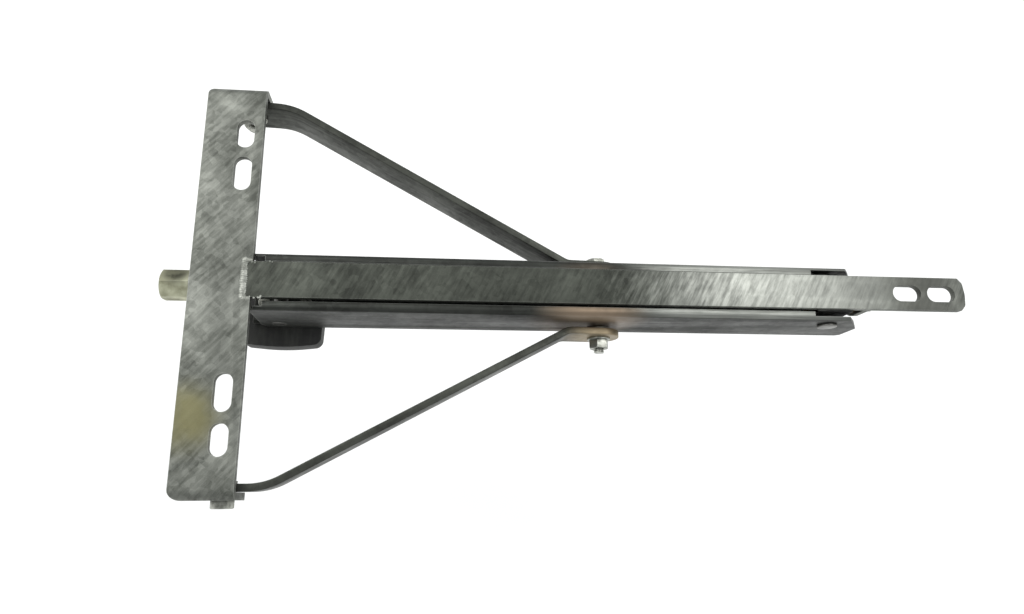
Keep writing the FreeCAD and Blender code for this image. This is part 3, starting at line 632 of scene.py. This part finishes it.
# %% [markdown]
# No sheared, folded or turned edge is perfectly sharp: galvanising and handling leave a radius
# of a few tenths of a millimetre that catches the light. The exact CAD solid is already the
# right shape, so each piece is a copy of it. The copy is cleaned into whole faces, its sharp
# edges are bevelled, and it is shaded smooth except over real corners.


# %% Select one thing
def select_only(piece):
    """Makes one object the only selected and active one."""
    bpy.ops.object.select_all(action="DESELECT")
    piece.select_set(True)
    bpy.context.view_layer.objects.active = piece


def apply_modifier(piece, kind, **settings):
    """Adds a modifier, sets it and applies it."""
    modifier = piece.modifiers.new(kind.lower(), kind)
    for name, value in settings.items():
        setattr(modifier, name, value)
    select_only(piece)
    bpy.ops.object.modifier_apply(modifier=modifier.name)


def shade(piece, angle=40):
    """Smooth shading, except across edges sharper than the angle."""
    select_only(piece)
    bpy.ops.object.shade_smooth_by_angle(angle=math.radians(angle))


# %% Round the edges of a CAD piece
SAME_POINT_MM = 0.002
FLAT_DEGREES = 0.5
SHARP_DEGREES = 32


def rounded_copy(node, radius_mm, segments=3):
    """A cleaned copy of a CAD node with its sharp edges rounded."""
    piece = bpy.data.objects.new(f"{node}_finished", frame["nodes"][node].data.copy())
    bpy.context.scene.collection.objects.link(piece)
    select_only(piece)
    bpy.ops.object.mode_set(mode="EDIT")
    bpy.ops.mesh.select_all(action="SELECT")
    bpy.ops.mesh.customdata_custom_splitnormals_clear()
    bpy.ops.mesh.remove_doubles(threshold=SAME_POINT_MM * MM)
    bpy.ops.mesh.dissolve_limited(angle_limit=math.radians(FLAT_DEGREES))
    bpy.ops.object.mode_set(mode="OBJECT")
    apply_modifier(
        piece,
        "BEVEL",
        width=radius_mm * MM,
        segments=segments,
        limit_method="ANGLE",
        angle_limit=math.radians(SHARP_DEGREES),
        miter_outer="MITER_ARC",
        use_clamp_overlap=True,
    )
    return piece


def finish_piece(piece, body, material, replaced=()):
    """Gives a piece its material and body, and hides the CAD nodes it stands for."""
    piece.data.materials.clear()
    piece.data.materials.append(material)
    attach(piece, body)
    if replaced:
        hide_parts(*replaced)
    print(f"{piece.name}: {len(piece.data.polygons)} faces, rides on {body}")
    return piece


# %% [markdown]
# The imported record says which moving body each node belongs to and which material slot it
# fills. The body is read from it, so a finished piece always moves with its CAD node.

# %% Where each node belongs
record = frame["record"]
body_of = {}
for body, members in record["behaviour"]["bodies"].items():
    for member in members:
        body_of[member] = body
print("bodies:", sorted(set(body_of.values())))

# %% [markdown]
# Most pieces need only that: sheared plate, flat bar, folded sheet, turned collars and bushes.
# Thick bar gets a larger radius than thin sheet. The rivet heads and pivot stubs were closed
# with a domed tool, so their heads are rounded almost through. The sole's edges are moulded.

# %% Rounded plate, bar, sheet and turned pieces
# Each node's material, and the radius of its edges in millimetres.
FINISHES = {
    "cross_plate": (plate_zinc, 0.5),
    "rail_bar": (rail_zinc, 0.5),
    "rail_weld": (weld_metal, 0.2),
    "front_bearing_tab": (plate_zinc, 0.5),
    "rear_bearing_tab": (plate_zinc, 0.5),
    "front_bush": (bronze, 0.3),
    "rear_bush": (bronze, 0.3),
    "ear_washers": (zinc_plate, 0.2),
    "ear_nuts": (zinc_plate, 0.25),
    "hex_drive": (passivated, 0.4),
    "thrust_collar": (oiled_steel, 0.5),
    "end_washer": (zinc_plate, 0.2),
    "end_nut": (zinc_plate, 0.3),
    "nut_block": (cast_iron, 1.0),
    "thread_insert": (bronze, 0.2),
    "leg_channel": (leg_zinc, 0.4),
    "spacer_tube": (oiled_steel, 0.3),
    "pivot_stubs": (oiled_steel, 0.9),
    "foot_pin": (oiled_steel, 0.5),
    "brace_left": (brace_zinc, 0.6),
    "brace_right": (brace_zinc, 0.6),
    "mid_washer": (zinc_plate, 0.2),
    "mid_spacers": (zinc_plate, 0.2),
    "mid_nut": (zinc_plate, 0.25),
    "foot_bracket": (leg_zinc, 0.4),
    "foot_pad": (rubber, 1.2),
    "foot_rivets": (zinc_plate, 0.8),
}
for node, (material, radius_mm) in FINISHES.items():
    piece = rounded_copy(node, radius_mm)
    shade(piece)
    finish_piece(piece, body_of[node], material, [node])

# %% [markdown]
# A thread is one profile swept round and along its axis. The Screw modifier does exactly that:
# the profile of one pitch turns once while it climbs one pitch, and repeats. The rod is made
# over a turn too long at each end and cut off flat with bisect, which also closes the ends.


# %% Cut with a plane
def trim(piece, point, normal, side=None):
    """Cuts away what lies past a plane and closes the cut; side picks faces by their sign of Y."""
    select_only(piece)
    bpy.ops.object.mode_set(mode="EDIT")
    bpy.ops.mesh.select_mode(type="FACE")
    bpy.ops.mesh.select_all(action="SELECT")
    if side:
        bpy.ops.mesh.select_all(action="DESELECT")
        bpy.ops.object.mode_set(mode="OBJECT")
        for face in piece.data.polygons:
            face.select = face.center.y * side > 0
        bpy.ops.object.mode_set(mode="EDIT")
    bpy.ops.mesh.bisect(
        plane_co=point, plane_no=normal, use_fill=True, clear_inner=False, clear_outer=True
    )
    bpy.ops.object.mode_set(mode="OBJECT")


# %% Threaded rod along Z
THREAD_STEPS = 24
EXTRA_TURNS = 3


def threaded_rod(name, length_mm, radius_mm, pitch_mm, depth_mm, crest_share=0.3):
    """A screw thread from the origin up Z, with flat closed ends."""
    root = (radius_mm - depth_mm) * MM
    crest = radius_mm * MM
    pitch = pitch_mm * MM
    flat = crest_share * pitch
    flank = (pitch - 2 * flat) / 2
    heights = [0, flank, flank + flat, 2 * flank + flat, pitch]
    radii = [root, crest, crest, root, root]
    mesh = bpy.data.meshes.new(name)
    points = [(radius, 0, height) for radius, height in zip(radii, heights)]
    mesh.from_pydata(points, [(i, i + 1) for i in range(4)], [])
    rod = bpy.data.objects.new(name, mesh)
    bpy.context.scene.collection.objects.link(rod)
    turns = math.ceil(length_mm / pitch_mm) + EXTRA_TURNS
    apply_modifier(
        rod,
        "SCREW",
        axis="Z",
        screw_offset=pitch,
        iterations=turns,
        steps=THREAD_STEPS,
        render_steps=THREAD_STEPS,
        use_smooth_shade=False,
    )
    rod.data.transform(Matrix.Translation((0, 0, -EXTRA_TURNS / 2 * pitch)))
    select_only(rod)
    bpy.ops.object.mode_set(mode="EDIT")
    bpy.ops.mesh.select_all(action="SELECT")
    bpy.ops.mesh.remove_doubles(threshold=0.001 * MM)
    bpy.ops.object.mode_set(mode="OBJECT")
    trim(rod, (0, 0, 0), (0, 0, -1))
    trim(rod, (0, 0, length_mm * MM), (0, 0, 1))
    select_only(rod)
    bpy.ops.object.mode_set(mode="EDIT")
    bpy.ops.mesh.select_all(action="SELECT")
    bpy.ops.mesh.normals_make_consistent(inside=False)
    bpy.ops.object.mode_set(mode="OBJECT")
    return rod


def lay_along(piece, direction, start):
    """Turns a piece made up the Z axis to a direction and moves it to its start, in its mesh."""
    turn = Vector((0, 0, 1)).rotation_difference(Vector(direction)).to_matrix().to_4x4()
    piece.data.transform(Matrix.Translation(start) @ turn)
    return piece


def join(pieces, name):
    """Joins pieces into the first one."""
    bpy.ops.object.select_all(action="DESELECT")
    for piece in pieces:
        piece.select_set(True)
    bpy.context.view_layer.objects.active = pieces[0]
    bpy.ops.object.join()
    pieces[0].name = name
    return pieces[0]


# %% [markdown]
# The lead screw is a 14 mm bar with a trapezoidal thread of 4 mm pitch, cut between its two
# bearings. Both ends are turned down to 12 mm journals, and the far one is threaded for the nut
# that holds the screw in. The journals start as cylinders whose rims are bevelled.

# %% Lead screw
screw_low, screw_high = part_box("lead_screw")
front_bush_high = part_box("front_bush")[1]
rear_bush_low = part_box("rear_bush")[0]
end_nut_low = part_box("end_nut")[0]
screw_z = (screw_low.z + screw_high.z) / 2
PLAY = 0.4 * MM
JOURNAL_RADIUS_MM = 6.0
JOURNAL_RIM_MM = 0.5
MAIN_THREAD = {"radius_mm": 7.0, "pitch_mm": 4.0, "depth_mm": 2.0}
TIP_THREAD = {"radius_mm": 6.0, "pitch_mm": 1.75, "depth_mm": 1.0, "crest_share": 0.15}
thread_start = front_bush_high.x + PLAY
thread_end = rear_bush_low.x - PLAY


def journal(name, start_x, end_x):
    """A plain round end of the screw between two distances along X."""
    bpy.ops.object.select_all(action="DESELECT")
    bpy.ops.mesh.primitive_cylinder_add(
        vertices=48, radius=JOURNAL_RADIUS_MM * MM, depth=end_x - start_x
    )
    piece = bpy.context.object
    piece.name = name
    piece.data.transform(Matrix.Translation((0, 0, (end_x - start_x) / 2)))
    apply_modifier(
        piece,
        "BEVEL",
        width=JOURNAL_RIM_MM * MM,
        segments=2,
        limit_method="ANGLE",
        angle_limit=0.8,
    )
    return lay_along(piece, (1, 0, 0), (start_x, 0, screw_z))


main_thread = threaded_rod("main_thread", (thread_end - thread_start) / MM, **MAIN_THREAD)
lay_along(main_thread, (1, 0, 0), (thread_start, 0, screw_z))
tip_thread = threaded_rod("tip_thread", (screw_high.x - end_nut_low.x) / MM, **TIP_THREAD)
lay_along(tip_thread, (1, 0, 0), (end_nut_low.x, 0, screw_z))
screw_pieces = [
    main_thread,
    journal("front_journal", screw_low.x, thread_start),
    journal("rear_journal", thread_end, end_nut_low.x),
    tip_thread,
]
lead_screw = join(screw_pieces, "lead_screw_finished")
shade(lead_screw, 30)
finish_piece(lead_screw, "screw", oiled_steel, ["lead_screw"])

# %% [markdown]
# The M8 pivot bolts show a few turns of thread past their nuts. The plain end of each CAD bolt
# is cut off inside the nut, and a threaded end of the same size takes its place.

# %% Bolts with threaded ends
BOLT_THREAD = {"radius_mm": 4.0, "pitch_mm": 1.25, "depth_mm": 0.75, "crest_share": 0.15}
BOLT_THREAD_MM = 5.0
THREAD_OVERLAP_MM = 0.2
HEAD_EDGE_MM = 0.25


def thread_bolt(node, ends):
    """A bolt node with rounded head and threaded ends. Each end is (tip, inward sign, side)."""
    piece = rounded_copy(node, HEAD_EDGE_MM)
    tips = []
    for number, (tip, inward, side) in enumerate(ends):
        cut = tip + Vector((0, inward * BOLT_THREAD_MM * MM, 0))
        trim(piece, cut, (0, -inward, 0), side)
        rod = threaded_rod(
            f"{node}_thread_{number}", BOLT_THREAD_MM + THREAD_OVERLAP_MM, **BOLT_THREAD
        )
        tips.append(lay_along(rod, (0, inward, 0), tip))
    piece = join([piece] + tips, f"{node}_finished")
    shade(piece, 35)
    return finish_piece(piece, body_of[node], zinc_plate, [node])


mid_low, mid_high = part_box("mid_bolt")
mid_axis = (mid_low + mid_high) / 2
mid_tip = Vector((mid_axis.x, mid_low.y, mid_axis.z))
thread_bolt("mid_bolt", [(mid_tip, 1, None)])

ear_low, ear_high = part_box("ear_nuts")
ear_axis = (ear_low + ear_high) / 2
NUT_HEIGHT = 6.5 * MM
PAST_NUT = 2.5 * MM
ear_tip_y = ear_high.y - NUT_HEIGHT - PAST_NUT
ear_ends = []
for side in (-1, 1):
    tip = Vector((ear_axis.x, side * ear_tip_y, ear_axis.z))
    ear_ends.append((tip, side, side))
thread_bolt("ear_bolts", ear_ends)

# %% [markdown]
# The drive hexagon is held on the screw by a spring roll pin: a strip of steel rolled into a
# tube with a slit down one side. It starts as an open cylinder, loses one strip of faces for the
# slit, and gets its wall from Solidify.

# %% Roll pin
PIN_WALL_MM = 0.8
PIN_RIM_MM = 0.15
PIN_SLIT_FACES = 2

pin_low, pin_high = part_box("drive_pin")
pin_centre = (pin_low + pin_high) / 2
bpy.ops.object.select_all(action="DESELECT")
bpy.ops.mesh.primitive_cylinder_add(
    vertices=32,
    radius=(pin_high.x - pin_low.x) / 2,
    depth=pin_high.y - pin_low.y,
    end_fill_type="NOTHING",
)
roll_pin = bpy.context.object
roll_pin.name = "drive_pin_finished"
select_only(roll_pin)
bpy.ops.object.mode_set(mode="EDIT")
bpy.ops.mesh.select_mode(type="FACE")
bpy.ops.object.mode_set(mode="OBJECT")
for face in roll_pin.data.polygons:
    face.select = face.index < PIN_SLIT_FACES
bpy.ops.object.mode_set(mode="EDIT")
bpy.ops.mesh.delete(type="FACE")
bpy.ops.object.mode_set(mode="OBJECT")
apply_modifier(roll_pin, "SOLIDIFY", thickness=PIN_WALL_MM * MM, offset=-1)
apply_modifier(
    roll_pin,
    "BEVEL",
    width=PIN_RIM_MM * MM,
    segments=2,
    limit_method="ANGLE",
    angle_limit=0.9,
)
lay_along(roll_pin, (0, 1, 0), pin_centre)
shade(roll_pin)
finish_piece(roll_pin, "screw", oiled_steel, ["drive_pin"])

# %% [markdown]
# A weld bead is laid as a row of overlapping puddles, so its width swells and shrinks in
# ripples a millimetre or two apart, never quite evenly. A curve with a round section and its own
# radius at every point gives that shape, and is then made a mesh and pressed a little flat.

# %% Weld beads
RIPPLE_MM = 1.5
BEAD_STEP_MM = 0.3
# Radius in a trough between ripples and at the bead's very ends, as shares of the bead's own.
BEAD_TROUGH = 0.88
BEAD_END = 0.45
# How much a ripple swells the bead, how far its width drifts, and how much of the drift is kept
# from one step to the next.
BEAD_SWELL = 0.16
BEAD_DRIFT = 0.66
DRIFT_KEPT = 0.9


def spaced(corners, step):
    """Points a step apart along straight runs between corners, and their distances along."""
    points = []
    distances = []
    travelled = 0.0
    for start, finish in zip(corners, corners[1:]):
        run = finish - start
        count = max(1, round(run.length / step))
        for number in range(count):
            points.append(start + run * (number / count))
            distances.append(travelled + run.length * number / count)
        travelled += run.length
    points.append(corners[-1])
    distances.append(travelled)
    return points, distances


def weld_bead(name, corners_mm, radius_mm, flatten, seed):
    """A rippled bead along straight runs; flatten is its height for each unit of its width."""
    chance = random.Random(seed)
    corners = [Vector(corner) * MM for corner in corners_mm]
    points, distances = spaced(corners, BEAD_STEP_MM * MM)
    data = bpy.data.curves.new(name, "CURVE")
    data.dimensions = "3D"
    data.bevel_depth = radius_mm * MM
    data.bevel_resolution = 3
    data.use_fill_caps = True
    spline = data.splines.new("POLY")
    spline.points.add(len(points) - 1)
    total = distances[-1]
    drift = 0.0
    for point, place, distance in zip(spline.points, points, distances):
        drift = DRIFT_KEPT * drift + (1 - DRIFT_KEPT) * chance.uniform(-1, 1)
        ripple = BEAD_SWELL * abs(math.sin(math.pi * distance / (RIPPLE_MM * MM)))
        from_end = min(distance, total - distance)
        closing = min(1.0, BEAD_END + from_end / (2 * radius_mm * MM))
        point.co = (*place, 1)
        point.radius = closing * (BEAD_TROUGH + ripple + BEAD_DRIFT * drift)
    bead = bpy.data.objects.new(name, data)
    bpy.context.scene.collection.objects.link(bead)
    select_only(bead)
    bpy.ops.object.convert(target="MESH")
    bead = bpy.context.object
    height = corners[0].z
    for vertex in bead.data.vertices:
        vertex.co.z = height + (vertex.co.z - height) * flatten
    shade(bead, 60)
    return bead


# %% [markdown]
# The rail is let into the plate, and one bead runs round its end in a U: in along one side,
# across the end and out along the other.

# %% Rail weld
SEAM_INSET_MM = 0.75
SEAM_END_MM = 0.5
SEAM_DEPTH_MM = 0.5
SEAM_RADIUS_MM = 2.6
SEAM_FLATTEN = 0.42

weld_low, weld_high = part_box("rail_weld")
seam_x = weld_low.x / MM + SEAM_INSET_MM
seam_y = weld_high.y / MM - SEAM_INSET_MM
edge_x = weld_high.x / MM - SEAM_END_MM
seam_corners = [
    (edge_x, -seam_y, -SEAM_DEPTH_MM),
    (seam_x, -seam_y, -SEAM_DEPTH_MM),
    (seam_x, seam_y, -SEAM_DEPTH_MM),
    (edge_x, seam_y, -SEAM_DEPTH_MM),
]
seam_bead = weld_bead("rail_weld_bead", seam_corners, SEAM_RADIUS_MM, SEAM_FLATTEN, seed=3)
finish_piece(seam_bead, "frame", weld_metal)

# %% [markdown]
# Welding throws off drops of metal that freeze where they land. Each is a small ball, pressed
# flat and sunk halfway into the steel under it, so one ball is modelled, then copied and sized.
# The drops lie thickest near the weld, along the rail's two edges.

# %% Spatter
SPATTER_COUNT = 14
SPATTER_REACH_MM = 22.0
SPATTER_BAND_MM = 2.5
DROP_RADIUS_MM = (0.35, 0.8)
DROP_FLATTEN = 0.5

chance = random.Random(7)
drops = []
bpy.ops.object.select_all(action="DESELECT")
bpy.ops.mesh.primitive_ico_sphere_add(subdivisions=2, radius=MM)
ball = bpy.context.object
for _ in range(SPATTER_COUNT):
    size = chance.uniform(*DROP_RADIUS_MM)
    side = chance.choice((-1, 1))
    along_rail = edge_x + SPATTER_REACH_MM * chance.random() ** 2
    across = side * (seam_y - SPATTER_BAND_MM * chance.random())
    drop = ball.copy()
    drop.data = ball.data.copy()
    bpy.context.scene.collection.objects.link(drop)
    flat = Matrix.Diagonal((size, size, size * DROP_FLATTEN, 1))
    drop.data.transform(Matrix.Translation(Vector((along_rail, across, 0)) * MM) @ flat)
    drops.append(drop)
bpy.data.objects.remove(ball)
spatter = join(drops, "weld_spatter")
shade(spatter, 60)
finish_piece(spatter, "frame", weld_metal)

# %% [markdown]
# Each bearing tab stands upright under the steel it carries, and a fillet bead fills the corner
# between the two: one behind the front tab, and one on each side of the rear tab. These beads
# keep their round section, partly sunk into the corner.

# %% Tab welds
TAB_BEAD_RADIUS_MM = 1.9
TAB_BEAD_END_MM = 1.5
TAB_BEAD_SINK_MM = 1.0
TAB_BEAD_OUT_MM = 1.0

tab_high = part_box("tab_welds")[1]
front_tab_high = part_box("front_bearing_tab")[1]
rear_tab_low, rear_tab_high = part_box("rear_bearing_tab")
bead_y = tab_high.y / MM - TAB_BEAD_END_MM
bead_z = tab_high.z / MM - TAB_BEAD_SINK_MM
bead_places = (
    front_tab_high.x / MM + TAB_BEAD_OUT_MM,
    rear_tab_low.x / MM - TAB_BEAD_OUT_MM,
    rear_tab_high.x / MM + TAB_BEAD_OUT_MM,
)
tab_beads = []
for number, bead_x in enumerate(bead_places):
    line = [(bead_x, -bead_y, bead_z), (bead_x, bead_y, bead_z)]
    tab_beads.append(
        weld_bead(
            f"tab_bead_{number}", line, TAB_BEAD_RADIUS_MM, flatten=1.0, seed=11 + number
        )
    )
tab_bead = join(tab_beads, "tab_weld_beads")
finish_piece(tab_bead, "frame", weld_metal, ["tab_welds"])

# %% [markdown]
# The part hangs from its mounting face, so the floor is the ground, just under the foot's sole
# when the leg is let down. It is plain and pale.

# %% Floor
GROUND_Z = -0.42
FLOOR_SIZE = 14.0

floor_material = start_material("matt_white_paper")
paper = add(
    floor_material,
    "ShaderNodeBsdfPrincipled",
    {"Base Color": linear("#f4f4f2"), "Roughness": 0.9, "Specular IOR Level": 0.2},
)
finish_material(floor_material, paper)
bpy.ops.object.select_all(action="DESELECT")
bpy.ops.mesh.primitive_plane_add(size=FLOOR_SIZE, location=(0.25, 0, GROUND_Z))
floor = bpy.context.object
floor.name = "floor"
floor.data.materials.append(floor_material)

# %% [markdown]
# A soft box stands past the tongue, where it lights up the rail's right half, which also carries
# a painted highlight. A wider and gentler one stands past the plate, to one side. A pale sky
# lights the rest, and is so bright that the floor comes out white.

# %% Lights
SKY_STRENGTH = 0.92
SOFT_BOXES = {
    "key": ((1.05, 0.39, 1.30), 0.7, 9.0),
    "fill": ((-0.9, 0.8, 1.4), 1.6, 22.0),
}
LIGHT_TARGET = Vector((0.25, 0, 0))

for name, (place, size, watts) in SOFT_BOXES.items():
    light = bpy.data.lights.new(name, "AREA")
    light.shape = "SQUARE"
    light.size = size
    light.energy = watts
    lamp = bpy.data.objects.new(name, light)
    lamp.location = place
    lamp.rotation_euler = (LIGHT_TARGET - Vector(place)).to_track_quat("-Z", "Y").to_euler()
    bpy.context.scene.collection.objects.link(lamp)

world = bpy.data.worlds.new("pale_sky")
world.use_nodes = True
sky = world.node_tree.nodes["Background"]
sky.inputs["Color"].default_value = linear("#f2f4f6")
sky.inputs["Strength"].default_value = SKY_STRENGTH
bpy.context.scene.world = world
bpy.context.scene.view_settings.view_transform = "Standard"
print("lights:", list(SOFT_BOXES))
